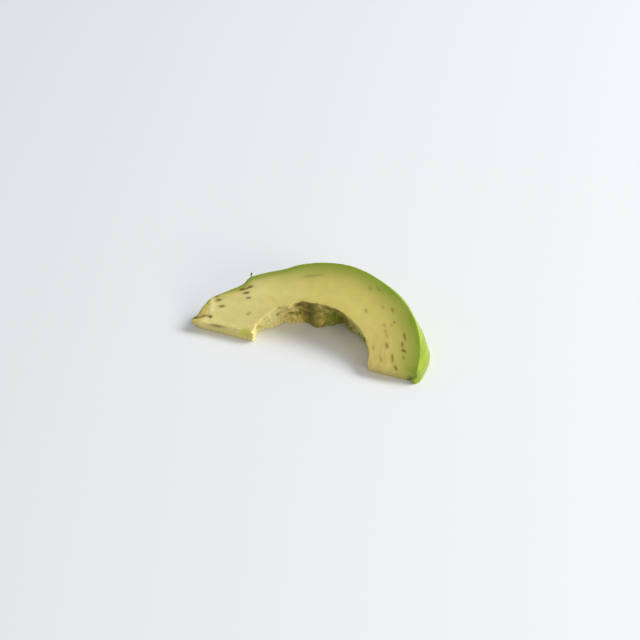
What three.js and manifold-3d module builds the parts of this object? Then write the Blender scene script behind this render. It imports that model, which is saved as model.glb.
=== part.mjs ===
// One wedge of a peeled, stoned avocado, lying on its lower cut face.
//
// Units are millimetres and +Z is up. +X runs along the fruit from the stem end to the
// blossom end, and +Y runs from the halved side out to the peeled skin side. The origin is
// the middle of the footprint's box, on the surface that the slice lies on.
//
// The fruit is a pear turned about its own axis, with a hollow left by the pit. Halving it
// cut it through that axis, and two more cuts then took this wedge out of the half. The two
// cuts meet in an imaginary line in front of the halved side: the wedge line.

import * as THREE from "three";
import { mergeVertices } from "three/addons/utils/BufferGeometryUtils.js";
import Module from "manifold-3d";

// Driving dimensions
const FRUIT_LENGTH = 103; // peeled fruit, from the torn stem end to the blossom end
const FRUIT_RADIUS = 40.8; // peeled fruit at its fullest
const PIT_LENGTH = 54; // the hollow along the fruit
const PIT_RADIUS = 21.4; // the hollow out from the fruit's axis
const PIT_FROM_STEM = 54.5; // from the stem end to the middle of the hollow
const WEDGE_ANGLE = THREE.MathUtils.degToRad(36); // between the two cuts
const HALVED_THICKNESS = 6; // of the slice where the fruit was halved

// The peeled fruit's outline: shares of its length from the stem, and of its full radius.
// The peeler left a flat behind the stem end and a small step where the neck swells.
const FRUIT_OUTLINE = [
  [0, 0],
  [0.006, 0.07],
  [0.034, 0.195],
  [0.052, 0.303],
  [0.107, 0.416],
  [0.172, 0.538],
  [0.195, 0.63],
  [0.254, 0.717],
  [0.335, 0.812],
  [0.392, 0.893],
  [0.474, 0.963],
  [0.56, 1],
  [0.63, 0.998],
  [0.7, 0.96],
  [0.77, 0.9],
  [0.84, 0.81],
  [0.9, 0.69],
  [0.943, 0.55],
  [0.974, 0.385],
  [0.993, 0.2],
  [1, 0],
];

// How finely the curves are cut into facets
const FRUIT_STEPS = 64;
const PIT_STEPS = 32;
const TURN_STEPS = 96;

// Where the slice lies: distances out from the wedge line
const HALVED_REACH = HALVED_THICKNESS / (2 * Math.sin(WEDGE_ANGLE / 2));
const FAR_REACH = HALVED_REACH + 2 * FRUIT_RADIUS;

const wasm = await Module();
wasm.setup();

// A closed three.js geometry as a solid ready for cutting.
function solid(geometry) {
  const bare = geometry.clone();
  bare.deleteAttribute("normal");
  bare.deleteAttribute("uv");
  const welded = mergeVertices(bare);
  return new wasm.Manifold(
    new wasm.Mesh({
      numProp: 3,
      vertProperties: new Float32Array(welded.getAttribute("position").array),
      triVerts: new Uint32Array(welded.getIndex().array),
    }),
  );
}

// A cut solid as a three.js geometry.
function surface(cutSolid) {
  const mesh = cutSolid.getMesh();
  const geometry = new THREE.BufferGeometry();
  geometry.setAttribute(
    "position",
    new THREE.BufferAttribute(new Float32Array(mesh.vertProperties), 3),
  );
  geometry.setIndex(new THREE.BufferAttribute(new Uint32Array(mesh.triVerts), 1));
  return geometry;
}

// A profile of (radius, distance from the stem) turned about the fruit's axis, which runs
// along +X in the middle of the halved side.
function turnedAboutFruitAxis(profile) {
  const geometry = new THREE.LatheGeometry(profile, TURN_STEPS);
  geometry.rotateZ(-Math.PI / 2);
  const axisY = (HALVED_REACH * (1 + Math.cos(WEDGE_ANGLE))) / 2;
  const axisZ = (HALVED_REACH * Math.sin(WEDGE_ANGLE)) / 2;
  return solid(geometry.translate(0, axisY, axisZ));
}

// The peeled fruit, whole.
function fruit() {
  const curve = new THREE.CatmullRomCurve3(
    FRUIT_OUTLINE.map(
      ([along, out]) => new THREE.Vector3(out * FRUIT_RADIUS, along * FRUIT_LENGTH, 0),
    ),
    false,
    "centripetal",
  );
  const profile = curve
    .getSpacedPoints(FRUIT_STEPS)
    .map((point) => new THREE.Vector2(Math.max(point.x, 0), point.y));
  return turnedAboutFruitAxis(profile);
}

// The pit's hollow as a solid: half an ellipse, turned.
function pit() {
  const profile = new THREE.EllipseCurve(
    0,
    PIT_FROM_STEM,
    PIT_RADIUS,
    PIT_LENGTH / 2,
    -Math.PI / 2,
    Math.PI / 2,
  );
  return turnedAboutFruitAxis(profile.getPoints(PIT_STEPS));
}

// The room between the cuts: the lower one level, the upper one rising from the wedge
// line, and the halving cut square to the plane midway between them.
function wedge() {
  const cosine = Math.cos(WEDGE_ANGLE);
  const sine = Math.sin(WEDGE_ANGLE);
  const section = new THREE.Shape([
    new THREE.Vector2(HALVED_REACH, 0),
    new THREE.Vector2(FAR_REACH, 0),
    new THREE.Vector2(FAR_REACH * cosine, FAR_REACH * sine),
    new THREE.Vector2(HALVED_REACH * cosine, HALVED_REACH * sine),
  ]);
  const geometry = new THREE.ExtrudeGeometry(section, {
    depth: 2 * FRUIT_LENGTH,
    bevelEnabled: false,
  });
  const alongFruit = new THREE.Matrix4().makeBasis(
    new THREE.Vector3(0, 1, 0),
    new THREE.Vector3(0, 0, 1),
    new THREE.Vector3(1, 0, 0),
  );
  geometry.applyMatrix4(alongFruit);
  return solid(geometry.translate(-FRUIT_LENGTH / 2, 0, 0));
}

// Moves the slice so that the middle of its footprint's box is the origin.
function onOrigin(geometry) {
  geometry.computeBoundingBox();
  const middle = geometry.boundingBox.getCenter(new THREE.Vector3());
  return geometry.translate(-middle.x, -middle.y, 0);
}

const flesh = new THREE.MeshStandardMaterial({
  name: "avocado_flesh",
  color: 0xc9c07a,
  roughness: 0.45,
  metalness: 0,
});

const sliceSolid = fruit().subtract(pit()).intersect(wedge());
const slice = new THREE.Mesh(onOrigin(surface(sliceSolid)), flesh);
slice.name = "avocado_slice";

const group = new THREE.Group();
group.add(slice);

export default group;
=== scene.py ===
"""One wedge of a peeled, stoned avocado, lying on its lower cut face on a pale table.

Lengths in the code are millimetres until a mesh is made. +X runs along the fruit from the
stem end to the blossom end, +Y out from the halved side to the peeled side, +Z up.
"""

import math

import bpy
import numpy as np
from bpy.props import FloatProperty, FloatVectorProperty, IntProperty, PointerProperty
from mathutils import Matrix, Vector, noise


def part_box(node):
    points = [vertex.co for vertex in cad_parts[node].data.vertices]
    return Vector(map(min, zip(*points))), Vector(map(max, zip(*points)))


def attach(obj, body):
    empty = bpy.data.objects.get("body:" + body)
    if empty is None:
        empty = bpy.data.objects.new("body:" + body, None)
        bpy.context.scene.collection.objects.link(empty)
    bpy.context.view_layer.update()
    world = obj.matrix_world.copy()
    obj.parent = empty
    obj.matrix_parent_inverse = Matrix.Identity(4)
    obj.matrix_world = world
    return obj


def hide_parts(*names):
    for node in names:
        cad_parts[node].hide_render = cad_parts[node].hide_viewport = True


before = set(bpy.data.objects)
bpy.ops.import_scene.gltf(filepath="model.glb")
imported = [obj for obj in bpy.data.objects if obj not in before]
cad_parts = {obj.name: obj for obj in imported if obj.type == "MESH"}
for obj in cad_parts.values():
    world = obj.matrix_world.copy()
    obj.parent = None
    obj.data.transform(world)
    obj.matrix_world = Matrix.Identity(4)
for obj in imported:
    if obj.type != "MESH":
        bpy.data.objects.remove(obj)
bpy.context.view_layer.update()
CAD_NODE = "avocado_slice"
LOW_CORNER, HIGH_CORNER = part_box(CAD_NODE)

bl_info = {
    "name": "Avocado Slice",
    "version": (1, 0, 0),
    "blender": (4, 5, 0),
    "location": "View3D > Sidebar > Avocado",
    "description": "Adds one wedge of a peeled avocado and a small studio to see it in",
    "category": "Add Mesh",
}

MM_PER_M = 1000.0
# a colour Mix node's two colours and its result stand at these places among its sockets
MIX_A, MIX_B, MIX_COLOUR = 6, 7, 2

# The peeled fruit's outline: shares of its length from the stem, and of its full radius.
# The peeler left a flat behind the stem end and a small step where the neck swells.
FRUIT_OUTLINE = (
    (0.0, 0.0), (0.006, 0.07), (0.034, 0.195), (0.052, 0.303), (0.107, 0.416), (0.172, 0.538),
    (0.195, 0.63), (0.254, 0.717), (0.335, 0.812), (0.392, 0.893), (0.474, 0.963), (0.56, 1.0),
    (0.63, 0.998), (0.7, 0.96), (0.77, 0.9), (0.84, 0.81), (0.9, 0.69), (0.943, 0.55),
    (0.974, 0.385), (0.993, 0.2), (1.0, 0.0),
)

# Where each edge of a cut face strays from the turned shape. Each entry is the place along
# the edge from the stem end (0) to the blossom end (1), how far it spreads, and how many
# millimetres it goes outwards.
STRAYS = {
    "upper skin": ((0.022, 0.008, -0.5), (0.050, 0.012, 0.6), (0.880, 0.080, 0.3)),
    "lower skin": (
        (0.0, 0.02, 0.5),
        (0.80, 0.04, 0.2),
        (0.905, 0.065, 3.2),
        (0.95, 0.025, 0.3),
        (0.985, 0.02, 1.9),
    ),
    "upper pit": (
        (0.10, 0.02, -0.4),
        (0.30, 0.040, -0.9),
        (0.385, 0.024, 0.3),
        (0.435, 0.020, -0.25),
    ),
    "lower pit": (
        (0.10, 0.06, 1.6),
        (0.24, 0.06, 0.7),
        (0.45, 0.045, -1.7),
        (0.585, 0.045, 4.4),
        (0.69, 0.06, 2.2),
        (0.80, 0.08, 1.8),
    ),
}

# How far the random wavers carry each edge, the size of the broad ones and of the fine ones in
# mm, the fine ones' share, and how far apart in the noise two edges are.
EDGE_WAVERS = {"upper skin": 0.12, "lower skin": 0.25, "upper pit": 0.25, "lower pit": 0.55}
WAVER_SIZE = 4.0
FINE_WAVER_SIZE = 1.2
FINE_WAVER_SHARE = 0.4
EDGES_APART = 50

# The peeler's strokes, in mm: how wide and deep they are, how far they sway as a share of that
# width, how high the ridges between them stand and how rough they are.
STROKE_WIDTH = 7.5
STROKE_DEPTH = 0.27
STROKE_SWAY = 0.55
RIDGE_HEIGHT = 0.08
STROKE_GRAIN = 0.09

# The hollow's wall, in mm: crests torn up by the stem and faint ones beyond, their size, the
# shreds and broad waves on it, and the depth of the clefts and the knob's height mid-arch.
TORN_CREST = 0.95
FAINT_CREST = 0.12
CREST_SIZE = 4.6
SHRED_HEIGHT = 0.35
WAVE_HEIGHT = 0.30
CLEFT_DEPTH = 0.6
KNOB_HEIGHT = 1.0
# Each cleft's place along the wall, spread and share of the depth; the knob's place and spread.
CLEFTS = ((0.385, 0.028, 1.0), (0.44, 0.020, 0.7))
KNOB = (0.45, 0.04)

# The upper cut, in mm: the knife's wavers, and by the stem the split, the ridge and the scar.
KNIFE_WAVER = 0.10
SPLIT_DEPTH = 0.6
STEM_RIDGE_HEIGHT = 0.22
SCAR_HEIGHT = 0.25

# The dark strands that the knife cut through, on the upper cut: millimetres along the fruit
# and out from the wedge line, length in mm, tilt in degrees and strength.
STRANDS = (
    (20.9, 29.9, 3.4, 35, 1.2),
    (18.2, 28.4, 2.4, 30, 1.2),
    (20.4, 27.2, 2.8, 25, 1.2),
    (21.9, 25.2, 2.0, 20, 1.0),
    (9.0, 21.1, 2.2, 25, 1.1),
    (8.0, 22.6, 1.6, 30, 0.6),
    (11.3, 18.6, 2.4, 20, 1.1),
    (24.0, 18.2, 1.9, 35, 1.0),
    (7.7, 12.8, 1.2, 20, 1.0),
    (46.9, 41.4, 8.4, 20, 0.3),
    (74.2, 31.9, 1.8, -65, 0.6),
    (73.3, 41.9, 1.6, -40, 0.5),
    (76.8, 42.3, 1.9, -30, 0.5),
    (80.9, 35.1, 1.4, -55, 0.4),
    (85.3, 35.0, 1.8, -65, 0.7),
    (83.8, 27.6, 1.5, -50, 0.5),
    (84.8, 25.4, 1.8, -65, 0.5),
    (85.9, 23.7, 2.2, -60, 0.4),
    (87.4, 30.1, 1.0, -50, 0.7),
    (86.7, 28.6, 1.0, -50, 0.5),
    (93.6, 24.9, 3.0, -60, 0.9),
    (93.4, 21.5, 2.2, -70, 0.9),
    (94.8, 19.0, 2.1, -20, 1.0),
    (95.4, 16.2, 1.4, -65, 0.6),
    (90.9, 14.8, 3.6, -70, 0.8),
    (93.4, 10.9, 2.6, -60, 0.9),
    (87.1, 19.5, 2.4, -60, 0.8),
    (81.7, 17.0, 2.0, -60, 0.5),
    (86.2, 13.2, 2.1, -60, 0.5),
)

# Half a strand's width in mm, and half the width of the stain round it.
STRAND_HALF_WIDTH = 0.42
STAIN_HALF_WIDTH = 0.95

# The split beside the torn stem end and the ridge across it, as points (along, out) on the
# upper cut.
STEM_SPLIT = ((0.2, 10.7), (3.2, 11.9), (5.6, 13.0), (7.6, 12.9))
STEM_RIDGE = ((6.0, 20.4), (6.9, 18.2), (7.3, 15.8))

# The crumb of dark skin stands up from the upper cut's edge: its line from foot to tip, in mm
# in the shared frame.
CRUMB_PATH = ((-31.3, -0.3, 20.3), (-31.4, 0.0, 20.9), (-31.3, 0.3, 21.6))

# Dark and green patches on the hollow's wall: place along it, spread, height up it, spread and strength.
# The dark ones are partly the wall's own darker flesh and partly painted shade: the two low on the wall,
# at 0.68 and 0.93, paint the shade under its overhang at the lower edge, and those mid-arch darken it
# where it lies in shade.
HOLLOW_SMUDGES_AND_SHADE = (
    (0.27, 0.05, 0.75, 0.30, 0.35),
    (0.37, 0.030, 0.95, 0.40, 0.75),
    (0.41, 0.025, 0.60, 0.45, 0.85),
    (0.52, 0.025, 0.70, 0.40, 0.45),
    (0.93, 0.05, 0.10, 0.30, 0.9),
    (0.68, 0.05, 0.00, 0.16, 0.6),
)
HOLLOW_LIMES = (
    (0.55, 0.05, 0.20, 0.22, 0.95),
    (0.66, 0.04, 0.30, 0.15, 0.4),
    (0.74, 0.05, 0.05, 0.15, 0.7),
    (0.84, 0.05, 0.05, 0.18, 0.6),
)
# How pale the hollow's wall is painted, from the stem end (0) to the blossom end (1), with painted light
# and shade laid in: paler by the stem where bounced light falls, darker mid-arch where it lies in shade,
# and paler towards the blossom end to stand in for light from the near side.
HOLLOW_PALENESS_LIGHT_SHADE = (
    (0.0, 0.92), (0.17, 0.86), (0.26, 0.64), (0.33, 0.62), (0.38, 0.32), (0.44, 0.32),
    (0.485, 0.50), (0.54, 0.38), (0.62, 0.46), (0.72, 0.94), (0.84, 0.98), (1.0, 0.70),
)
# How deep the green goes in from the skin along the slice, as a share of its usual depth.
GREEN_DEPTH = (
    (0.0, 0.08), (0.12, 0.10), (0.20, 0.42), (0.30, 0.75), (0.45, 1.0), (0.60, 1.0),
    (0.80, 1.35), (1.0, 1.45),
)

# The loose shreds lie along the hollow's wall this many steps up, between these two shares of
# its length, and this many mm off it. Shreds scatter by this share of their length.
SHRED_STEP = 3
SHREDS_FROM = 0.50
SHREDS_TO = 0.96
SHRED_CLEARANCE = 0.35
SHRED_SCATTER = 0.3
# The crumb's bits stand closer together: their spacing and scatter as shares of their length.
CRUMB_SPACING = 0.2
CRUMB_SCATTER = 0.08

# Each light's place in metres to the right of, behind and above the slice, and its width.
WINDOW = (1.5, 0.3, 1.45, 1.0)
BOUNCE = (0.7, -0.9, 0.55, 0.5)
LIT_PLACE = (0.003, -0.006, 0.010)
# What the camera looks at, and how far the view moves right and up from there, in metres: the
# slice sits a little left of and below the middle of the frame.
AIM = (-0.0013, -0.00878, 0.008)
VIEW_RIGHT = 0.00478
VIEW_UP = 0.00218


def srgb(code):
    """A hex colour as the linear red, green, blue and alpha that shaders take."""
    parts = [int(code[i : i + 2], 16) / 255 for i in (1, 3, 5)]
    linear = [c / 12.92 if c <= 0.04045 else ((c + 0.055) / 1.055) ** 2.4 for c in parts]
    return (*linear, 1.0)


def ease(value, start, end):
    """0 before start, 1 after end, and a smooth rise between them."""
    share = np.clip((np.asarray(value, float) - start) / (end - start), 0, 1)
    return share * share * (3 - 2 * share)


def hump(value, middle, spread):
    """1 at the middle, falling smoothly to nothing on both sides."""
    return np.exp(-(((np.asarray(value, float) - middle) / spread) ** 2))


def stray(share, places):
    """Millimetres outwards at each share of an edge, from a list of places."""
    return sum(amount * hump(share, middle, spread) for middle, spread, amount in places)


def unit(vectors):
    """The same directions, one long."""
    length = np.linalg.norm(vectors, axis=-1, keepdims=True)
    return vectors / np.maximum(length, 1e-9)


def rough(points, size, seed, octaves=3, stretch=(1.0, 1.0, 1.0)):
    """Smooth random bumps of about that size in mm, between -1 and 1, one per point."""
    spots = points / (size * np.array(stretch)) + np.array((17.0, 31.0, 47.0)) * seed
    return np.array([noise.fractal(Vector(p), 1.0, 2.0, octaves) for p in spots])


def smooth_curve(points, steps):
    """A curve through the points (Catmull-Rom, centripetal), with steps per span."""
    known = np.array(points, float)
    known = np.vstack([2 * known[0] - known[1], known, 2 * known[-1] - known[-2]])
    gaps = np.sqrt(np.linalg.norm(np.diff(known, axis=0), axis=1))
    times = np.concatenate([[0], np.cumsum(gaps)])
    curve = []
    for i in range(1, len(known) - 2):
        at = times[i - 1 : i + 3]
        t = np.linspace(at[1], at[2], steps, endpoint=False)[:, None]
        # each round blends neighbours over the times given, from four down to one
        made = known[i - 1 : i + 3]
        for spans in (((0, 1), (1, 2), (2, 3)), ((0, 2), (1, 3)), ((1, 2),)):
            made = [
                (at[b] - t) / (at[b] - at[a]) * before + (t - at[a]) / (at[b] - at[a]) * after
                for (a, b), before, after in zip(spans, made, made[1:])
            ]
        curve.append(made[0])
    curve.append(known[-2:-1])
    return np.vstack(curve)


def evenly(curve, count):
    """The curve again, with count points the same distance apart."""
    run = np.concatenate([[0], np.cumsum(np.linalg.norm(np.diff(curve, axis=0), axis=1))])
    at = np.linspace(0, run[-1], count)
    return np.stack([np.interp(at, run, column) for column in curve.T], axis=1)


def outward(curve):
    """The direction square to a flat curve at each point, on its left as it runs on."""
    along = np.gradient(curve, axis=0)
    return unit(np.stack([-along[:, 1], along[:, 0]], axis=1))


class Wedge:
    """The lie of the slice: the two cuts meet in the wedge line, below the fruit's axis."""

    def __init__(self, slice_size):
        self.angle = slice_size.wedge_angle
        self.length = slice_size.fruit_length * MM_PER_M
        self.radius = slice_size.fruit_radius * MM_PER_M
        self.pit_half = slice_size.pit_length * MM_PER_M / 2
        self.pit_radius = slice_size.pit_radius * MM_PER_M
        self.pit_from_stem = slice_size.pit_from_stem * MM_PER_M
        half_thickness = slice_size.halved_thickness * MM_PER_M / 2
        half_angle = self.angle / 2
        self.edge_radius = half_thickness
        self.halved_reach = half_thickness / math.sin(half_angle)
        self.axis_reach = half_thickness / math.tan(half_angle)
        self.axis_off_cut = self.axis_reach * math.sin(half_angle)
        self.axis_reach_on_cut = self.axis_reach * math.cos(half_angle)

    def reach(self, radius):
        """How far out from the wedge line a cut meets the fruit at that radius."""
        across = np.sqrt(np.maximum(radius**2 - self.axis_off_cut**2, 0))
        return self.axis_reach_on_cut + across

    def on_cut(self, profile, count):
        """The edge that a turned profile of (along, radius) leaves on either cut."""
        kept = profile[profile[:, 1] >= self.edge_radius]
        edge = np.stack([kept[:, 0], self.reach(kept[:, 1])], axis=1)
        edge[[0, -1], 1] = self.halved_reach
        return evenly(edge, count)

    def skin_profile(self):
        return smooth_curve(FRUIT_OUTLINE, 60) * (self.length, self.radius)

    def pit_profile(self):
        turn = np.linspace(math.pi, 0, 1500)
        along = self.pit_from_stem + self.pit_half * np.cos(turn)
        return np.stack([along, self.pit_radius * np.sin(turn)], axis=1)

    def bulge(self, edge):
        """How far the turned surface stands out midway between the two cuts."""
        half_gap = edge[:, 1] * math.sin(self.angle / 2)
        middle = edge[:, 1] * math.cos(self.angle / 2) - self.axis_reach
        share = np.linspace(0, 1, len(edge))
        at_ends = ease(share, 0, 0.08) * ease(1 - share, 0, 0.08)
        pared = 1 - 0.3 * hump(share, 0.80, 0.05)
        return (np.hypot(middle, half_gap) - middle) * at_ends * pared

    def lifted(self, flat, turn):
        """Points (along, reach) on a plane turned up about the wedge line."""
        along, reach = flat[..., 0], flat[..., 1]
        return np.stack([along, reach * math.cos(turn), reach * math.sin(turn)], axis=-1)


class Lattice:
    """A block of points: t along the slice, w from the hollow out to the skin, h up."""

    def __init__(self, counts):
        self.counts = counts
        number = np.indices(counts).reshape(3, -1).T
        to_side = np.minimum(number, np.array(counts) - 1 - number)
        on_surface = (to_side == 0).any(axis=1)
        self.index = np.full(len(number), -1)
        self.index[on_surface] = np.arange(on_surface.sum())
        self.index = self.index.reshape(counts)
        self.number = number[on_surface]
        self.t, self.w, self.h = (self.number / (np.array(counts) - 1)).T
        self.steps_to_edge = np.sort(to_side[on_surface], axis=1)[:, 1]

    def quads(self):
        """The six sides as outward quads, and for each quad which side it is on."""
        index = self.index
        sides = (
            ("lower", index[:, :, 0], True),
            ("upper", index[:, :, -1], False),
            ("pit", index[:, 0, :], False),
            ("skin", index[:, -1, :], True),
            ("neck", index[0], True),
            ("foot", index[-1], False),
        )
        quads, names = [], []
        for name, grid, turned in sides:
            corners = [grid[:-1, :-1], grid[1:, :-1], grid[1:, 1:], grid[:-1, 1:]]
            if turned:
                corners.reverse()
            made = np.stack(corners, axis=-1).reshape(-1, 4)
            quads.append(made)
            names += [name] * len(made)
        return np.vstack(quads), np.array(names)


def point_normals(points, quads):
    """The outward direction at each point of a quad mesh."""
    across = points[quads[:, 2]] - points[quads[:, 0]]
    other = points[quads[:, 3]] - points[quads[:, 1]]
    facing = np.cross(across, other)
    total = np.zeros_like(points)
    for corner in range(4):
        np.add.at(total, quads[:, corner], facing)
    return unit(total)


def softened(points, quads, amount, rounds):
    """The points drawn towards their neighbours, by that amount at each."""
    ends = np.vstack([quads[:, [0, 1]], quads[:, [1, 2]], quads[:, [2, 3]], quads[:, [3, 0]]])
    count = np.zeros(len(points))
    np.add.at(count, ends[:, 0], 1)
    for _ in range(rounds):
        total = np.zeros_like(points)
        np.add.at(total, ends[:, 0], points[ends[:, 1]])
        points = points + amount[:, None] * (total / count[:, None] - points)
    return points


def distance_to(edge, spots):
    """How far each flat spot is from the nearest point of an edge."""
    nearest = [
        np.linalg.norm(edge[None] - part[:, None], axis=2).min(axis=1)
        for part in np.array_split(spots.reshape(-1, 2), 40)
    ]
    return np.concatenate(nearest).reshape(spots.shape[:-1])


class SliceShape:
    """The slice's surface and what its flesh is like at each point of it."""

    def __init__(self, slice_size):
        self.wedge = Wedge(slice_size)
        counts = (slice_size.steps_along, slice_size.steps_out, slice_size.steps_up)
        self.lattice = Lattice(counts)
        self.quads, self.side = self.lattice.quads()
        self.seed = slice_size.seed
        self.wavers = {}
        self.lay_out()
        self.carve()

    def edges(self):
        """The four edges of the two cut faces, each as points (along, reach)."""
        wedge, count = self.wedge, self.lattice.counts[0]
        profiles = {"skin": wedge.skin_profile(), "pit": wedge.pit_profile()}
        share = np.linspace(0, 1, count)
        edges = {}
        for name, strays in STRAYS.items():
            edge = wedge.on_cut(profiles[name.split()[1]], count)
            spots = np.column_stack([edge, np.full(count, len(edges) * EDGES_APART)])
            waver = rough(spots, WAVER_SIZE, self.seed, 4)
            waver += FINE_WAVER_SHARE * rough(spots, FINE_WAVER_SIZE, self.seed + 14, 2)
            out = outward(edge)
            out[:, 1] *= ease(share, 0, 0.02) * ease(1 - share, 0, 0.02)
            self.wavers[name] = out * (EDGE_WAVERS[name] * waver)[:, None]
            edges[name] = edge + out * stray(share, strays)[:, None] + self.wavers[name]
        return edges

    def lay_out(self):
        """Places each point between the four edges, and measures its depths."""
        wedge, lattice = self.wedge, self.lattice
        edges = self.edges()
        w_steps = np.linspace(0, 1, lattice.counts[1])[None, :, None]
        i, j = lattice.number[:, 0], lattice.number[:, 1]
        flat, skin_depth, pit_depth = {}, {}, {}
        for cut in ("lower", "upper"):
            pit, skin = edges[cut + " pit"], edges[cut + " skin"]
            face = pit[:, None] * (1 - w_steps) + skin[:, None] * w_steps
            flat[cut] = face[i, j]
            skin_depth[cut] = distance_to(skin, face)[i, j]
            pit_depth[cut] = distance_to(pit, face)[i, j]
        h, w = lattice.h, lattice.w
        low = wedge.lifted(flat["lower"], 0.0)
        high = wedge.lifted(flat["upper"], wedge.angle)
        points = low * (1 - h)[:, None] + high * h[:, None]
        # between the cuts the fruit is round, so its skin and its hollow stand out further
        between = (4 * h * (1 - h)) ** 0.8
        for name, closeness in (("upper skin", w**4), ("upper pit", (1 - w) ** 4)):
            out = outward(edges[name])[i]
            rise = wedge.bulge(edges[name])[i] * between * closeness
            points += wedge.lifted(out, wedge.angle / 2) * rise[:, None]
        # the small wavers of a knife edge die out a little way over the peeled side
        for cut, share, turn in (("lower", 1 - h, 0.0), ("upper", h, wedge.angle)):
            fade = share * ease(1 - share, 0, 0.2) * w
            points -= wedge.lifted(self.wavers[cut + " skin"][i] * fade[:, None], turn)
        self.points = points
        self.flat = flat["lower"] * (1 - h)[:, None] + flat["upper"] * h[:, None]
        self.skin_depth = skin_depth["lower"] * (1 - h) + skin_depth["upper"] * h
        self.pit_depth = pit_depth["lower"] * (1 - h) + pit_depth["upper"] * h
        skin = edges["upper skin"]
        run = np.linalg.norm(np.diff(skin, axis=0), axis=1).sum()
        # the offset keeps flat sides off the noise's own grid, where it looks woven
        self.grain = np.stack([lattice.t * run, self.skin_depth, points[:, 2]], axis=1)
        self.grain += (13.7, 5.3, 3.1)

    def carve(self):
        """Cuts the marks of each side into it, shapes its ends and wears its corners."""
        lattice = self.lattice
        t, w, h = lattice.t, lattice.w, lattice.h
        self.on_skin = (w == 1) * ease(1 - h, 0, 0.10)
        self.on_pit = (w == 0).astype(float)
        self.on_upper = (h == 1).astype(float)
        peeled, peel_ridge = self.peel_marks()
        torn, crests = self.hollow_marks()
        cut, split, ridge, scar = self.cut_marks()
        rise = self.on_skin * peeled + self.on_pit * torn + self.on_upper * cut
        normals = point_normals(self.points, self.quads)
        points = self.with_ends_shaped(self.points + normals * rise[:, None])
        # knives leave no corner quite sharp, and some corners here are torn round
        at_corner = np.clip(1 - lattice.steps_to_edge / 3, 0, 1)
        points = softened(points, self.quads, 0.5 * at_corner, 3)
        worn = (1 - ease(t, 0.30, 0.45)) * (1 - ease(w, 0.0, 0.05)) * ease(h, 0.6, 0.9)
        worn = np.maximum(worn, ease(t, 0.975, 0.995) * ease(h, 0.6, 0.9))
        points = softened(points, self.quads, 0.5 * worn, 6)
        points[:, 2] = np.maximum(points[:, 2], 0.0)
        self.points = points

        along = self.flat[:, 0]
        deeper = np.interp(t, *np.transpose(GREEN_DEPTH))
        on_ends = ((t == 0) | (t == 1)).astype(float)
        # painted shadow under the pale lip at the top of the halved face by the neck
        neck_lip_shadow = hump(along, 11.5, 3.0) * hump(h, 0.85, 0.2) * (t == 0)
        drift = 0.04 * rough(self.points, 3.0, self.seed + 13)
        strand, stain = self.strand_fields()
        shred_line = (w == 0) * (lattice.number[:, 2] == SHRED_STEP)
        self.fields = {
            "grain": self.grain,
            "green_depth": self.skin_depth / deeper,
            # the crests' height, which also paints the wall lighter on them and darker between them
            "crest": crests * self.on_pit,
            # the wall's paleness, with painted light and shade along it
            "paleness_light_shade": np.interp(t + drift, *np.transpose(HOLLOW_PALENESS_LIGHT_SHADE)),
            # dark patches of the hollow's wall, partly painted shade, fading onto the cuts close to its
            # edge
            "smudge": self.spots(HOLLOW_SMUDGES_AND_SHADE) * np.exp(-self.pit_depth / 0.8),
            "lime": np.maximum(self.spots(HOLLOW_LIMES) * self.on_pit, self.corner_lime()),
            "strand": strand,
            "stain": stain,
            # painted shadow: dark in the split's crack, and under the lip at the top of the neck's
            # halved face
            "split": np.maximum(split * self.on_upper, 0.7 * neck_lip_shadow),
            "ridge": ridge * self.on_upper,
            "scar": np.maximum(0.5 * scar, 0.35 * on_ends * (1 - ease(along, 30, 60))),
            "butter": 0.75 * (1 - ease(t, 0.10, 0.50)) * ease(self.skin_depth, 0.5, 4.0),
            "tan": self.tan_field(),
            "stem_end": 1 - ease(t, 0.06, 0.22),
            "peel_ridge": peel_ridge * self.on_skin,
            "torn_edge": shred_line * (t > SHREDS_FROM) * (t < SHREDS_TO),
        }

    def peel_marks(self):
        """Long flat strokes that meet in low ridges, and how near each point is to a ridge."""
        sway = rough(self.grain, 30.0, self.seed + 1, 2, (1.0, 1.0, 0.6))
        across = self.grain[:, 2] / STROKE_WIDTH + STROKE_SWAY * sway
        stroke = np.abs(np.sin(math.pi * across))
        fine = rough(self.grain, 1.5, self.seed + 2, 3, (8.0, 1.0, 1.0))
        return RIDGE_HEIGHT - STROKE_DEPTH * stroke + STROKE_GRAIN * fine, (1 - stroke) ** 3

    def hollow_marks(self):
        """Crests that the pit pulled up by the stem, clefts and a knob, and the bare crests."""
        t, h = self.lattice.t, self.lattice.h
        crests = rough(self.points, CREST_SIZE, self.seed + 3, 3, (1.0, 1.0, 0.8))
        crests = 1 - 2 * np.abs(crests)
        shreds = rough(self.points, 1.4, self.seed + 11, 2, (1.6, 1.6, 0.7))
        waves = rough(self.points, 7.0, self.seed + 8, 2)
        torn = 1 - ease(t, 0.24, 0.44)
        clefts = sum(depth * hump(t, place, spread) for place, spread, depth in CLEFTS)
        clefts *= ease(h, 0.25, 0.6) * (1 - 0.6 * ease(h, 0.85, 1))
        knob = hump(t, *KNOB) * (1 - ease(h, 0.2, 0.6))
        rise = (FAINT_CREST + TORN_CREST * torn) * crests + WAVE_HEIGHT * waves
        rise += SHRED_HEIGHT * torn * shreds - CLEFT_DEPTH * clefts + KNOB_HEIGHT * knob
        return rise, crests

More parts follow.
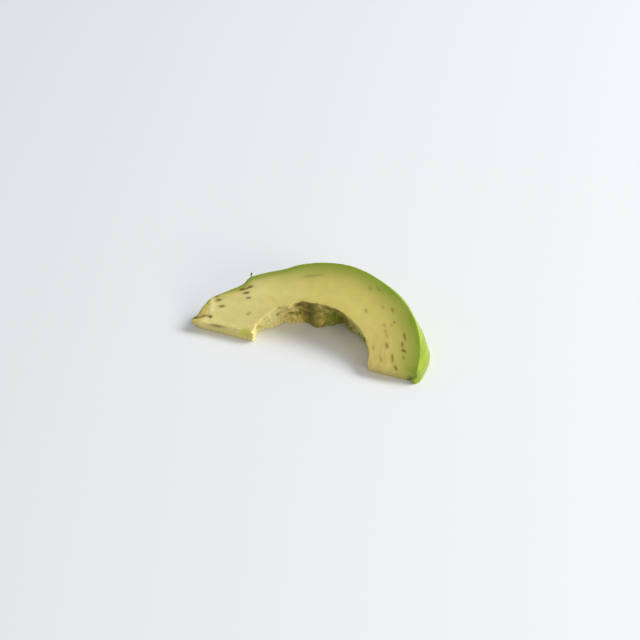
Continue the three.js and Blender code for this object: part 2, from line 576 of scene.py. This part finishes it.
    def cut_marks(self):
        """The knife's wavers, and by the stem the split, the ridge and the torn scar."""
        along, reach = self.flat.T
        knife = rough(self.grain, 16.0, self.seed + 5, 2, (2.0, 1.0, 1.0))
        broken = 0.75 + 0.5 * rough(self.points, 1.2, self.seed + 9)
        split = self.line_on_cut(STEM_SPLIT, 0.45) * broken
        ridge = self.line_on_cut(STEM_RIDGE, 1.0) * broken
        scar = (1 - ease(along, 4.5, 7.5)) * ease(reach, 11.5, 13.5) * self.on_upper
        rise = KNIFE_WAVER * knife - SPLIT_DEPTH * split + STEM_RIDGE_HEIGHT * ridge
        rise += SCAR_HEIGHT * scar * rough(self.points, 1.3, self.seed + 6)
        return rise, split, ridge, scar

    def with_ends_shaped(self, points):
        """The points with the halved face, the stem tip and the blossom corner shaped."""
        t, w, h = self.lattice.t, self.lattice.w, self.lattice.h
        along, reach = self.flat.T

        # the halving cut leans back towards its upper edge along the neck, and wavers
        neck = (1 - ease(along, 28, 42)) * ease(along, 2, 16)
        waver = 0.4 * rough(self.points, 3.0, self.seed + 12) * (1 - ease(reach, 10, 13))
        points[:, 1] += 1.3 * neck * h * (1 - ease(reach, 10, 26)) + waver * h

        # the stem tip is a thin lip, drawn out and clear of the table
        tip = np.exp(-((along / 4.0) ** 2) - ((reach - 9.8) / 4.0) ** 2)
        points[:, 0] -= 1.3 * tip
        points[:, 2] += 1.5 * (1 - h) * (1 - ease(along, 0, 5)) - 0.5 * h * tip

        # the blossom corner is worn round, and a rag of peeled flesh hangs on below it
        corner = ease(t, 0.97, 1.0)
        worn_off = corner * ease(w, 0.50, 0.95) * h
        gap = corner * hump(w, 0.80, 0.06) * (1 - ease(h, 0.3, 0.8))
        rag = ease(t, 0.955, 1.0) * ease(w, 0.84, 0.95) * (1 - ease(h, 0.35, 0.75))
        rag *= 1 + 0.4 * rough(self.points, 1.5, self.seed + 7)
        points[:, 1] += 1.3 * worn_off + 0.7 * gap - 1.0 * rag
        points[:, 2] += 0.8 * gap
        points[:, 0] -= 1.5 * rag
        return points

    def tan_field(self):
        """How far the flesh has turned tan beside the hollow, at the neck and in the foot."""
        t = self.lattice.t
        at_neck = 0.35 * (1 - ease(t, 0.12, 0.30)) * (1 - ease(self.pit_depth, 0.5, 5.0))
        in_foot = 0.55 * ease(t, 0.72, 0.95) * (1 - ease(self.pit_depth, 4.0, 14.0))
        return np.maximum(at_neck, in_foot)

    def placed_points(self):
        """The points in the shared frame, with the halved edge at the CAD node's low corner."""
        halved_y = self.wedge.halved_reach * math.cos(self.wedge.angle)
        corner = (LOW_CORNER.x * MM_PER_M, LOW_CORNER.y * MM_PER_M - halved_y, 0.0)
        return self.points + np.array(corner)

    def spots(self, places):
        """1 at places on the hollow's wall, fading to 0 round them."""
        t, h = self.lattice.t, self.lattice.h
        found = np.zeros(len(t))
        for place, spread, height, tall, strength in places:
            spot = strength * hump(t, place, spread) * hump(h, height, tall)
            found = np.maximum(found, spot)
        return found * np.clip(0.75 + 0.7 * rough(self.points, 1.8, self.seed + 10), 0, 1)

    def corner_lime(self):
        """The greener patch at the neck's corner beside the hollow."""
        off = self.flat - (24.5, 9.8)
        near = np.exp(-((off[:, 0] / 2.4) ** 2) - (off[:, 1] / 1.3) ** 2)
        return 0.75 * near * (self.lattice.h > 0.4)

    def line_on_cut(self, path, half_width):
        """1 along a path over the cut face, fading to 0 on both sides."""
        curve = smooth_curve(path, 12)
        far = distance_to(curve, self.flat)
        return np.exp(-((far / half_width) ** 2))

    def strand_fields(self):
        """How dark each point is with strands that the knife cut, and how stained by them."""
        dark = np.zeros(len(self.points))
        stain = np.zeros(len(self.points))
        for along, reach, length, tilt, strength in STRANDS:
            off = self.flat - (along, reach)
            way = np.array((math.cos(math.radians(tilt)), math.sin(math.radians(tilt))))
            lengthwise = off @ way / length
            across = off @ (-way[1], way[0])
            spot = np.exp(-((lengthwise / 0.52) ** 4) - (across / STRAND_HALF_WIDTH) ** 2)
            blur = np.exp(-((lengthwise / 0.75) ** 2) - (across / STAIN_HALF_WIDTH) ** 2)
            dark = np.maximum(dark, strength * spot)
            stain = np.maximum(stain, 0.4 * strength * blur)
        return np.minimum(dark, 1.0) * self.on_upper, stain * self.on_upper


def add_node(tree, kind, inputs=None, stops=(), **settings):
    """Adds a node. An input takes a node, an output, a hex colour or a value."""
    made = tree.nodes.new(kind)
    for name, value in settings.items():
        setattr(made, name, value)
    for name, value in (inputs or {}).items():
        if isinstance(value, bpy.types.Node):
            value = value.outputs[0]
        if isinstance(value, bpy.types.NodeSocket):
            tree.links.new(value, made.inputs[name])
        else:
            made.inputs[name].default_value = srgb(value) if isinstance(value, str) else value
    # a colour ramp starts with two stops, and the rest are added at its end
    for _ in stops[2:]:
        made.color_ramp.elements.new(1.0)
    for number, (place, colour) in enumerate(stops):
        stop = made.color_ramp.elements[number]
        stop.position = place
        stop.color = srgb(colour) if isinstance(colour, str) else colour
    return made


def stretched(tree, place, size_mm):
    """Coordinates for noise of that size in mm each way, turned off the noise's own grid."""
    scale = tuple(1 / size for size in size_mm)
    scaled = add_node(tree, "ShaderNodeVectorMath", {0: place, 1: scale}, operation="MULTIPLY")
    turned = {"Vector": scaled, "Rotation": (0.5, 0.6, 0.4)}
    return add_node(tree, "ShaderNodeVectorRotate", turned, rotation_type="EULER_XYZ")


def new_material(name, *fields):
    """An empty node material, its tree, and the stored fields that it reads, by name."""
    material = bpy.data.materials.new(name)
    material.use_nodes = True
    tree = material.node_tree
    tree.nodes.clear()
    read = {}
    for field in fields:
        reader = add_node(tree, "ShaderNodeAttribute", attribute_name=field)
        read[field] = reader.outputs["Vector" if field == "grain" else "Fac"]
    return material, tree, read


def give_surface(tree, shade, look, layers=(), stir=None):
    """Ends a material: layers of (where, colour) over its shade, and what stirs the light."""
    for mask, colour in layers:
        mix = {0: mask, MIX_A: shade, MIX_B: colour}
        shade = add_node(tree, "ShaderNodeMix", mix, data_type="RGBA").outputs[MIX_COLOUR]
    look = {"Base Color": shade, **look}
    if stir:
        look["Normal"] = add_node(tree, "ShaderNodeBump", stir)
    shader = add_node(tree, "ShaderNodeBsdfPrincipled", look)
    add_node(tree, "ShaderNodeOutputMaterial", {"Surface": shader})


# What all the flesh shares: light sinks a few millimetres into it, and a thin film of
# moisture and oil lies over it.
MOIST_FLESH = {
    "IOR": 1.40,
    "Subsurface Weight": 0.3,
    "Subsurface Radius": (1.0, 0.75, 0.25),
    "Subsurface Scale": 2.5 / MM_PER_M,
    "Coat Roughness": 0.28,
    "Coat IOR": 1.33,
}

# What lies over the knife cut's own shade, in order: the stored field that says where, the
# colour, and for streaks the fibre noise's lowest and highest value in them.
CUT_LAYERS = (
    ("tan", "#d0b268", 0.20, 0.60),
    ("tan", "#bb9858", 0.58, 0.80),
    ("scar", "#bfa450", 0.30, 0.60),
    ("lime", "#c0c636", None, None),
    ("ridge", "#f8f2b2", None, None),
    # the hollow's dark patches, partly painted shade, where they run onto the cut by the hollow's edge
    ("smudge", "#857a2c", None, None),
    # painted shadow in the split by the stem and under the lip at the top of the neck's halved face
    ("split", "#6c4e0c", None, None),
    ("stain", "#8f7c34", 0.30, 0.55),
)


def knife_cut_flesh(colours):
    """Ripe flesh cut with a knife: green under the skin, fading to butter yellow."""
    fields = {name for name, *_ in CUT_LAYERS}
    material, tree, read = new_material(
        "knife_cut_flesh", "grain", "green_depth", "butter", "strand", *sorted(fields)
    )
    # the green goes in unevenly, in patches about 11 mm long and 6 mm deep
    patch_place = stretched(tree, read["grain"], (11, 6, 6))
    patch = add_node(tree, "ShaderNodeTexNoise", {"Vector": patch_place, "Scale": 1.0})
    uneven = add_node(tree, "ShaderNodeMath", {0: patch, 1: 2.4, 2: -1.2}, operation="MULTIPLY_ADD")
    depth = add_node(tree, "ShaderNodeMath", {0: read["green_depth"], 1: uneven}, operation="ADD")
    share = add_node(tree, "ShaderNodeMath", {0: depth, 1: 24.0}, operation="DIVIDE")
    stops = (
        (0.00, colours.rim_green),
        (0.03, "#889f2c"),
        (0.06, "#96a43c"),
        (0.13, "#a6ac48"),
        (0.24, "#c1bb5e"),
        (0.38, "#d8cb70"),
        (0.60, colours.flesh),
        (1.00, "#d8c668"),
    )
    shade = add_node(tree, "ShaderNodeValToRGB", {"Fac": share}, stops).outputs["Color"]
    # fibres run along the fruit, about 12 mm long and under a millimetre across
    fibre_place = stretched(tree, read["grain"], (12, 0.8, 3))
    fibre = add_node(tree, "ShaderNodeTexNoise", {"Vector": fibre_place, "Scale": 1.0, "Detail": 3.0})
    layers = [(read["butter"], colours.pale_flesh)]
    for name, colour, low, high in CUT_LAYERS:
        mask = read[name]
        if low is not None:
            streak = {"Value": fibre, "From Min": low, "From Max": high}
            streak = add_node(tree, "ShaderNodeMapRange", streak)
            mask = add_node(tree, "ShaderNodeMath", {0: mask, 1: streak}, operation="MULTIPLY")
        layers.append((mask, colour))
    # riper clouds about 5 mm across keep a broad cut from looking painted
    cloud_place = stretched(tree, read["grain"], (6, 5, 5))
    cloud = add_node(tree, "ShaderNodeTexNoise", {"Vector": cloud_place, "Scale": 1.0, "Detail": 4.0})
    cloud = {"Value": cloud, "From Min": 0.42, "From Max": 0.66, "To Max": 0.14}
    layers.append((add_node(tree, "ShaderNodeMapRange", cloud), "#b5a748"))
    # the knife crosses dark strands, which show as specks broken at about half a millimetre
    speck_place = stretched(tree, read["grain"], (1.4, 0.5, 0.5))
    speck = add_node(tree, "ShaderNodeTexNoise", {"Vector": speck_place, "Scale": 1.0})
    speck = {"Value": speck, "From Min": 0.34, "From Max": 0.54, "To Min": 0.45}
    speck = add_node(tree, "ShaderNodeMapRange", speck)
    strand = {0: read["strand"], 1: speck}
    layers.append((add_node(tree, "ShaderNodeMath", strand, operation="MULTIPLY"), colours.strand))
    # the cut cells and fibres only stir the light
    stir = {"Height": speck, "Distance": 0.10 / MM_PER_M, "Strength": 0.25}
    look = {**MOIST_FLESH, "Roughness": 0.46, "Coat Weight": 0.12}
    give_surface(tree, shade, look, layers, stir)
    return material


def torn_hollow_flesh(colours):
    """Flesh torn as the pit came out: cream shreds by the stem, smooth damp olive beyond, with painted
    light on the shreds and painted shade mid-arch.
    """
    fields = ("grain", "paleness_light_shade", "crest", "smudge", "lime")
    material, tree, read = new_material("torn_hollow_flesh", *fields)
    # blotches about 4 mm across
    blotch_place = stretched(tree, read["grain"], (4, 4, 3))
    blotch = add_node(tree, "ShaderNodeTexNoise", {"Vector": blotch_place, "Scale": 1.0, "Detail": 3.0})
    # the wall's tone: its paleness, which carries painted light and shade, plus painted light on the
    # crests and painted shade between them, made uneven in blotches
    tone = {0: read["crest"], 1: 0.14, 2: read["paleness_light_shade"]}
    tone = add_node(tree, "ShaderNodeMath", tone, operation="MULTIPLY_ADD")
    uneven = add_node(tree, "ShaderNodeMath", {0: blotch, 1: 0.40, 2: -0.21}, operation="MULTIPLY_ADD")
    tone = add_node(tree, "ShaderNodeMath", {0: tone, 1: uneven}, operation="ADD")
    # the ramp's olive end also carries the painted shade mid-arch, and its cream end the painted light
    # on the torn shreds
    stops = (
        (0.15, colours.hollow_olive_shaded),
        (0.38, "#8b7f30"),
        (0.52, "#a99a42"),
        (0.68, "#e2d27c"),
        (0.88, colours.hollow_cream_lit),
    )
    shade = add_node(tree, "ShaderNodeValToRGB", {"Fac": tone}, stops).outputs["Color"]
    # fine shreds, 2 mm long and under a millimetre across, with painted shade in their creases: darker
    # brown where the shred bump dips
    shred_place = stretched(tree, read["grain"], (0.7, 0.7, 2))
    shred = {"Vector": shred_place, "Scale": 1.0, "Detail": 4.0, "Roughness": 0.6}
    shred = add_node(tree, "ShaderNodeTexNoise", shred)
    crease_shade = {"Value": shred, "From Min": 0.46, "From Max": 0.30, "To Max": 0.7}
    crease_shade = add_node(tree, "ShaderNodeMapRange", crease_shade)
    torn = {"Value": read["paleness_light_shade"], "From Min": 0.45, "From Max": 0.85}
    torn = add_node(tree, "ShaderNodeMapRange", torn)
    crease_shade = add_node(tree, "ShaderNodeMath", {0: crease_shade, 1: torn}, operation="MULTIPLY")
    # the creases and the dark patches here carry painted shade; the lime patches are the flesh's own
    # green
    layers = ((crease_shade, "#b0923a"), (read["smudge"], "#50460a"), (read["lime"], "#86991a"))
    stir = {"Height": shred, "Distance": 0.3 / MM_PER_M, "Strength": 0.6}
    look = {**MOIST_FLESH, "Roughness": 0.40, "Coat Weight": 0.25}
    give_surface(tree, shade, look, layers, stir)
    return material


def peeled_flesh(colours):
    """Flesh just under the skin, bared with a peeler: lime green with long, fine marks."""
    material, tree, read = new_material("peeled_flesh", "grain", "peel_ridge", "stem_end")
    # broad patches where the peeler went deeper, about 25 mm long and 9 mm wide
    patch_place = stretched(tree, read["grain"], (25, 9, 8))
    patch = add_node(tree, "ShaderNodeTexNoise", {"Vector": patch_place, "Scale": 1.0, "Detail": 3.0})
    stops = (
        (0.30, colours.peeled_green),
        (0.46, "#a1b42e"),
        (0.62, "#b4c138"),
        (0.78, colours.peeled_lime),
    )
    shade = add_node(tree, "ShaderNodeValToRGB", {"Fac": patch}, stops).outputs["Color"]
    # between two strokes of the peeler less came off, so a greener line is left
    ridge = add_node(tree, "ShaderNodeMath", {0: read["peel_ridge"], 1: 0.55}, operation="MULTIPLY")
    # darker lines from stem to blossom, under a millimetre wide
    line_place = stretched(tree, read["grain"], (16, 0.8, 0.8))
    line = {"Vector": line_place, "Scale": 1.0, "Detail": 3.0, "Roughness": 0.6}
    line = add_node(tree, "ShaderNodeTexNoise", line)
    dark_line = {"Value": line, "From Min": 0.47, "From Max": 0.33, "To Max": 0.38}
    dark_line = add_node(tree, "ShaderNodeMapRange", dark_line)
    # thin dark skin that the peeler missed near the stem
    missed = {"Value": patch, "From Min": 0.56, "From Max": 0.40, "To Max": 0.6}
    missed = add_node(tree, "ShaderNodeMapRange", missed)
    missed = add_node(tree, "ShaderNodeMath", {0: missed, 1: read["stem_end"]}, operation="MULTIPLY")
    layers = ((ridge, "#7f9a20"), (dark_line, "#7d9722"), (missed, "#66791f"))
    stir = {"Height": line, "Distance": 0.12 / MM_PER_M, "Strength": 0.5}
    look = {**MOIST_FLESH, "Roughness": 0.42, "Coat Weight": 0.15}
    give_surface(tree, shade, look, layers, stir)
    return material


def ragged_flesh(colours):
    """Loose shreds on a torn edge: thin, damp, lime to olive."""
    material, tree, _ = new_material("ragged_flesh")
    place = add_node(tree, "ShaderNodeTexCoord").outputs["Object"]
    # each shred, about 1.5 mm long, gets its own tone
    tone = add_node(tree, "ShaderNodeVectorMath", {0: place, "Scale": MM_PER_M / 1.5}, operation="SCALE")
    tone = add_node(tree, "ShaderNodeTexNoise", {"Vector": tone, "Scale": 1.0})
    stops = ((0.36, "#8c962a"), (0.5, "#aab83e"), (0.64, "#dcd680"))
    shade = add_node(tree, "ShaderNodeValToRGB", {"Fac": tone}, stops).outputs["Color"]
    give_surface(tree, shade, {**MOIST_FLESH, "Roughness": 0.42, "Coat Weight": 0.2})
    return material


def dark_skin(colours):
    """A scrap of the fruit's own skin that the peeler left: pebbled, nearly black, dull."""
    material, tree, _ = new_material("dark_skin_scrap")
    place = add_node(tree, "ShaderNodeTexCoord").outputs["Object"]
    # the pebbles, about half a millimetre across, are a little greener than what is between
    pebble = {0: place, "Scale": MM_PER_M / 0.5}
    pebble = add_node(tree, "ShaderNodeVectorMath", pebble, operation="SCALE")
    pebble = add_node(tree, "ShaderNodeTexNoise", {"Vector": pebble, "Scale": 1.0})
    stops = ((0.42, colours.skin_scrap), (0.62, "#3a4a24"))
    shade = add_node(tree, "ShaderNodeValToRGB", {"Fac": pebble}, stops).outputs["Color"]
    stir = {"Height": pebble, "Distance": 0.1 / MM_PER_M, "Strength": 0.5}
    give_surface(tree, shade, {"Roughness": 0.6}, stir=stir)
    return material


def shred_tree():
    """A node group that strews small closed shreds along a path."""
    tree = bpy.data.node_groups.new("shreds_along_path", "GeometryNodeTree")
    for name, kind in (
        ("Path", "NodeSocketGeometry"),
        ("Spacing", "NodeSocketFloat"),
        ("Shred Length", "NodeSocketFloat"),
        ("Scatter", "NodeSocketFloat"),
        ("Seed", "NodeSocketInt"),
        ("Flesh", "NodeSocketMaterial"),
    ):
        tree.interface.new_socket(name, in_out="INPUT", socket_type=kind)
    tree.interface.new_socket("Shreds", in_out="OUTPUT", socket_type="NodeSocketGeometry")
    given = add_node(tree, "NodeGroupInput").outputs
    curve = add_node(tree, "GeometryNodeMeshToCurve", {"Mesh": given["Path"]})
    spaced = {"Curve": curve, "Length": given["Spacing"]}
    spaced = add_node(tree, "GeometryNodeResampleCurve", spaced, mode="LENGTH")
    # how far each shred is off the path, how it is turned, and its size as shares of its length
    drawn = []
    for low, high in (
        ((-1.0, -1.0, -1.0), (1.0, 1.0, 1.0)),
        ((0.0, 0.0, 0.0), (math.tau, math.tau, math.tau)),
        ((0.5, 0.25, 0.2), (1.1, 0.45, 0.35)),
    ):
        span = {0: low, 1: high, "Seed": given["Seed"]}
        drawn.append(add_node(tree, "FunctionNodeRandomValue", span, data_type="FLOAT_VECTOR"))
    offset, turn, size = drawn
    offset = {0: offset, "Scale": given["Scatter"]}
    offset = add_node(tree, "ShaderNodeVectorMath", offset, operation="SCALE")
    size = {0: size, "Scale": given["Shred Length"]}
    size = add_node(tree, "ShaderNodeVectorMath", size, operation="SCALE")
    strewn = add_node(tree, "GeometryNodeSetPosition", {"Geometry": spaced, "Offset": offset})
    shred = add_node(tree, "GeometryNodeMeshIcoSphere", {"Radius": 0.5, "Subdivisions": 2})
    placed = {"Points": strewn, "Instance": shred, "Rotation": turn, "Scale": size}
    placed = add_node(tree, "GeometryNodeInstanceOnPoints", placed)
    real = add_node(tree, "GeometryNodeRealizeInstances", {"Geometry": placed})
    smooth = add_node(tree, "GeometryNodeSetShadeSmooth", {"Geometry": real})
    painted = add_node(tree, "GeometryNodeSetMaterial", {"Geometry": smooth, "Material": given["Flesh"]})
    add_node(tree, "NodeGroupOutput", {"Shreds": painted})
    return tree


def new_mesh(name, points_mm, faces, edges=()):
    """A mesh object from points in mm in the shared frame, itself at the origin."""
    mesh = bpy.data.meshes.new(name)
    mesh.from_pydata((points_mm / MM_PER_M).tolist(), list(edges), np.asarray(faces).tolist())
    if len(faces):
        mesh.shade_smooth()
    piece = bpy.data.objects.new(name, mesh)
    bpy.context.scene.collection.objects.link(piece)
    return piece


def keep_field(piece, name, values):
    """Stores one number or vector per point for the materials to read."""
    values = np.asarray(values, np.float32)
    kind, part = ("FLOAT_VECTOR", "vector") if values.ndim == 2 else ("FLOAT", "value")
    kept = piece.data.attributes.new(name, kind, "POINT")
    kept.data.foreach_set(part, values.ravel())


def marked_points(piece, name, clear):
    """The points in mm where a stored field is 1, in order, moved that far off the piece."""
    mesh = piece.data
    places = np.zeros(len(mesh.vertices) * 3, np.float32)
    facing = np.zeros_like(places)
    marks = np.zeros(len(mesh.vertices), np.float32)
    mesh.vertices.foreach_get("co", places)
    mesh.vertices.foreach_get("normal", facing)
    mesh.attributes[name].data.foreach_get("value", marks)
    moved = places * MM_PER_M + facing * clear
    return moved.reshape(-1, 3)[marks > 0.5]


def strew(name, path_mm, material, spacing, length, scatter, seed):
    """A piece made of small closed shreds along a path, resting on the slice."""
    steps = [(step, step + 1) for step in range(len(path_mm) - 1)]
    piece = new_mesh(name, path_mm, [], steps)
    tree = shred_tree()
    modifier = piece.modifiers.new("shreds", "NODES")
    modifier.node_group = tree
    values = {
        "Spacing": spacing,
        "Shred Length": length,
        "Scatter": scatter,
        "Seed": seed,
        "Flesh": material,
    }
    for socket in tree.interface.items_tree:
        if socket.name in values:
            modifier[socket.identifier] = values[socket.name]
    made = piece.evaluated_get(bpy.context.evaluated_depsgraph_get())
    mesh = bpy.data.meshes.new_from_object(made)
    # no shred goes through the table
    for point in mesh.vertices:
        point.co.z = max(point.co.z, 0.0)
    piece.modifiers.clear()
    piece.data = mesh
    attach(piece, "root")


def size_property(name, description, default, unit="LENGTH"):
    """A size that shows in the panel: a length in metres unless it has another unit."""
    subtype = "ANGLE" if unit == "ROTATION" else "NONE"
    return FloatProperty(
        name=name, description=description, default=default, unit=unit, subtype=subtype
    )


def count_property(name, description, default):
    """A whole number that shows in the panel."""
    return IntProperty(name=name, description=description, default=default)


def colour_property(name, description, code):
    """A colour that shows in the panel, from its hex code."""
    return FloatVectorProperty(
        name=name,
        description=description,
        default=srgb(code),
        size=4,
        min=0.0,
        max=1.0,
        subtype="COLOR",
    )


class AvocadoSliceSize(bpy.types.PropertyGroup):
    """Sizes of the fruit, its pit, the wedge cut from it and the scraps on it."""

    fruit_length: size_property(
        "Fruit length",
        "Peeled fruit, from the torn stem end to the blossom end",
        HIGH_CORNER.x - LOW_CORNER.x,
    )
    fruit_radius: size_property("Fruit radius", "Peeled fruit at its fullest", 0.0408)
    pit_length: size_property("Pit length", "The hollow along the fruit", 0.054)
    pit_radius: size_property("Pit radius", "The hollow out from the fruit's axis", 0.0214)
    pit_from_stem: size_property(
        "Pit from stem", "From the stem end to the middle of the hollow", 0.0545
    )
    wedge_angle: size_property(
        "Wedge angle", "Between the two knife cuts", math.radians(36), "ROTATION"
    )
    halved_thickness: size_property(
        "Halved thickness", "Of the slice where the fruit was halved", 0.006
    )
    steps_along: count_property(
        "Steps along", "Points from the stem end round to the blossom end", 350
    )
    steps_out: count_property("Steps out", "Points from the hollow to the skin", 64)
    steps_up: count_property("Steps up", "Points from the lower cut to the upper one", 36)
    seed: count_property("Seed", "Changes every random mark", 3)
    shred_length: size_property(
        "Shred length", "The longest loose shred on the hollow's torn edge", 0.0017
    )
    shred_spacing: size_property("Shred spacing", "From one loose shred to the next", 0.0010)
    crumb_length: size_property(
        "Crumb length", "The longest bit of the dark crumb on the upper edge", 0.0016
    )


class AvocadoColours(bpy.types.PropertyGroup):
    """The colours of the flesh, from the skin in to the hollow, and of the table."""

    rim_green: colour_property("Rim green", "Cut flesh just under the skin", "#7c9c20")
    flesh: colour_property("Flesh", "Cut flesh in the middle of the wedge", "#e0d47a")
    pale_flesh: colour_property("Pale flesh", "Cut flesh at the neck", "#f2e9a0")
    strand: colour_property("Strand", "Dark strands in the flesh", "#4e3f00")
    # also made paler to paint the light that falls on the torn shreds
    hollow_cream_lit: colour_property("Hollow cream", "Torn shreds by the stem", "#fff3ac")
    # partly damp olive flesh and partly the painted shade of the wall mid-arch and between the crests
    hollow_olive_shaded: colour_property("Hollow olive", "Damp hollows of the wall", "#6a5e14")
    peeled_green: colour_property("Peeled green", "Shallow peel marks", "#8ca426")
    peeled_lime: colour_property("Peeled lime", "Deep peel marks", "#c2c94c")
    skin_scrap: colour_property("Skin scrap", "Scrap of skin the peeler left", "#2e3a1e")
    table: colour_property("Table", "The table it lies on", "#eaecf0")


class AvocadoStudio(bpy.types.PropertyGroup):
    """Where the camera stands, and how strong the lights are."""

    azimuth: size_property(
        "Azimuth", "How far the camera has moved round towards +X", math.radians(19.8), "ROTATION"
    )
    elevation: size_property(
        "Elevation", "How far the camera looks down", math.radians(43.0), "ROTATION"
    )
    distance: size_property("Distance", "From the camera to what it looks at", 0.70)
    lens: size_property("Lens", "Focal length in millimetres", 90.5, "NONE")
    window_power: size_property(
        "Window", "Power of the soft light from the window", 37.5, "POWER"
    )
    bounce_power: size_property(
        "Bounce", "Power of the warm light thrown back from the near side", 3.6, "POWER"
    )
    room_light: size_property("Room", "Brightness of the light from all round", 0.42, "NONE")


# Which of the slice's three materials each side of it shows.
SIDE_MATERIALS = {"upper": 0, "lower": 0, "neck": 0, "foot": 0, "pit": 1, "skin": 2}


class AVOCADO_OT_add_slice(bpy.types.Operator):
    """Adds the wedge of flesh in place of its CAD node"""

    bl_idname = "avocado.add_slice"
    bl_label = "Add Avocado Slice"

    def execute(self, context):
        shape = SliceShape(context.scene.avocado_slice_size)
        piece = new_mesh("avocado_flesh", shape.placed_points(), shape.quads)
        colours = context.scene.avocado_colours
        for made in (knife_cut_flesh, torn_hollow_flesh, peeled_flesh):
            piece.data.materials.append(made(colours))
        sides = np.array([SIDE_MATERIALS[name] for name in shape.side], np.int32)
        piece.data.polygons.foreach_set("material_index", sides)
        for name, values in shape.fields.items():
            keep_field(piece, name, values)
        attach(piece, "root")
        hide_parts(CAD_NODE)
        return {"FINISHED"}


class AVOCADO_OT_add_crumb(bpy.types.Operator):
    """Adds the crumb of dark skin that stands on the upper cut's edge"""

    bl_idname = "avocado.add_crumb"
    bl_label = "Add Skin Crumb"

    def execute(self, context):
        sizes = context.scene.avocado_slice_size
        path = np.array(CRUMB_PATH)
        skin = dark_skin(context.scene.avocado_colours)
        length = sizes.crumb_length
        spacing = CRUMB_SPACING * length
        scatter = CRUMB_SCATTER * length
        strew("skin_crumb", path, skin, spacing, length, scatter, sizes.seed)
        return {"FINISHED"}


class AVOCADO_OT_add_shreds(bpy.types.Operator):
    """Strews loose shreds of flesh along the hollow's torn lower edge"""

    bl_idname = "avocado.add_shreds"
    bl_label = "Add Loose Shreds"

    def execute(self, context):
        sizes = context.scene.avocado_slice_size
        slice_piece = bpy.data.objects["avocado_flesh"]
        path = marked_points(slice_piece, "torn_edge", SHRED_CLEARANCE)
        flesh = ragged_flesh(context.scene.avocado_colours)
        length = sizes.shred_length
        scatter = SHRED_SCATTER * length
        strew("loose_shreds", path, flesh, sizes.shred_spacing, length, scatter, sizes.seed)
        return {"FINISHED"}


def area_light(name, position, target, size, watts, colour):
    """A soft square light that faces the target."""
    data = bpy.data.lights.new(name, "AREA")
    data.shape = "SQUARE"
    data.size = size
    data.energy = watts
    data.color = srgb(colour)[:3]
    lamp = bpy.data.objects.new(name, data)
    lamp.location = position
    lamp.rotation_euler = (target - position).to_track_quat("-Z", "Y").to_euler()
    bpy.context.scene.collection.objects.link(lamp)


class AVOCADO_OT_add_studio(bpy.types.Operator):
    """Adds the pale table, the soft lights and the camera"""

    bl_idname = "avocado.add_studio"
    bl_label = "Add Studio"

    def execute(self, context):
        studio = context.scene.avocado_studio
        scene = context.scene
        bpy.ops.mesh.primitive_plane_add(size=6.0, location=(0, 0, 0))
        table = context.object
        table.name = "pale_table"
        # a matt white tabletop: even, with hardly any shine
        material, tree, _ = new_material("matt_white_tabletop")
        give_surface(tree, scene.avocado_colours.table, {"Roughness": 0.6})
        table.data.materials.append(material)

        right = Vector((math.cos(studio.azimuth), math.sin(studio.azimuth), 0))
        away = Vector((-math.sin(studio.azimuth), math.cos(studio.azimuth), 0))
        up = Vector((0, 0, 1))
        middle = Vector(LIT_PLACE)
        for name, (to_right, behind, above, width), watts, colour in (
            ("window", WINDOW, studio.window_power, "#ffffff"),
            ("bounce", BOUNCE, studio.bounce_power, "#fff6e0"),
        ):
            place = middle + to_right * right + behind * away + above * up
            area_light(name, place, middle, width, watts, colour)
        world = bpy.data.worlds.new("soft_room")
        world.use_nodes = True
        light = world.node_tree.nodes["Background"].inputs
        light["Color"].default_value = srgb("#f7f8fa")
        light["Strength"].default_value = studio.room_light
        scene.world = world
        scene.view_settings.view_transform = "Standard"

        back = -math.cos(studio.elevation) * away + math.sin(studio.elevation) * up
        data = bpy.data.cameras.new("camera")
        data.lens = studio.lens
        data.sensor_width = 36.0
        camera = bpy.data.objects.new("camera", data)
        view_up = math.sin(studio.elevation) * away + math.cos(studio.elevation) * up
        aim = Vector(AIM) + VIEW_RIGHT * right + VIEW_UP * view_up
        camera.location = aim + studio.distance * back
        camera.rotation_euler = (-back).to_track_quat("-Z", "Y").to_euler()
        scene.collection.objects.link(camera)
        scene.camera = camera
        return {"FINISHED"}


class AVOCADO_PT_panel(bpy.types.Panel):
    """The slice's sizes and the buttons that make it"""

    bl_idname = "AVOCADO_PT_panel"
    bl_label = "Avocado Slice"
    bl_space_type = "VIEW_3D"
    bl_region_type = "UI"
    bl_category = "Avocado"

    def draw(self, context):
        scene = context.scene
        for group in (scene.avocado_slice_size, scene.avocado_colours, scene.avocado_studio):
            box = self.layout.box()
            for name in group.__annotations__:
                box.prop(group, name)
        for button in ("add_slice", "add_shreds", "add_crumb", "add_studio"):
            self.layout.operator("avocado." + button)


CLASSES = (
    AvocadoSliceSize,
    AvocadoColours,
    AvocadoStudio,
    AVOCADO_OT_add_slice,
    AVOCADO_OT_add_shreds,
    AVOCADO_OT_add_crumb,
    AVOCADO_OT_add_studio,
    AVOCADO_PT_panel,
)


def register():
    for made in CLASSES:
        bpy.utils.register_class(made)
    bpy.types.Scene.avocado_slice_size = PointerProperty(type=AvocadoSliceSize)
    bpy.types.Scene.avocado_colours = PointerProperty(type=AvocadoColours)
    bpy.types.Scene.avocado_studio = PointerProperty(type=AvocadoStudio)


def unregister():
    del bpy.types.Scene.avocado_studio
    del bpy.types.Scene.avocado_colours
    del bpy.types.Scene.avocado_slice_size
    for made in reversed(CLASSES):
        bpy.utils.unregister_class(made)


def main():
    register()
    bpy.ops.avocado.add_slice()
    bpy.ops.avocado.add_shreds()
    bpy.ops.avocado.add_crumb()
    bpy.ops.avocado.add_studio()


if __name__ == "__main__":
    main()
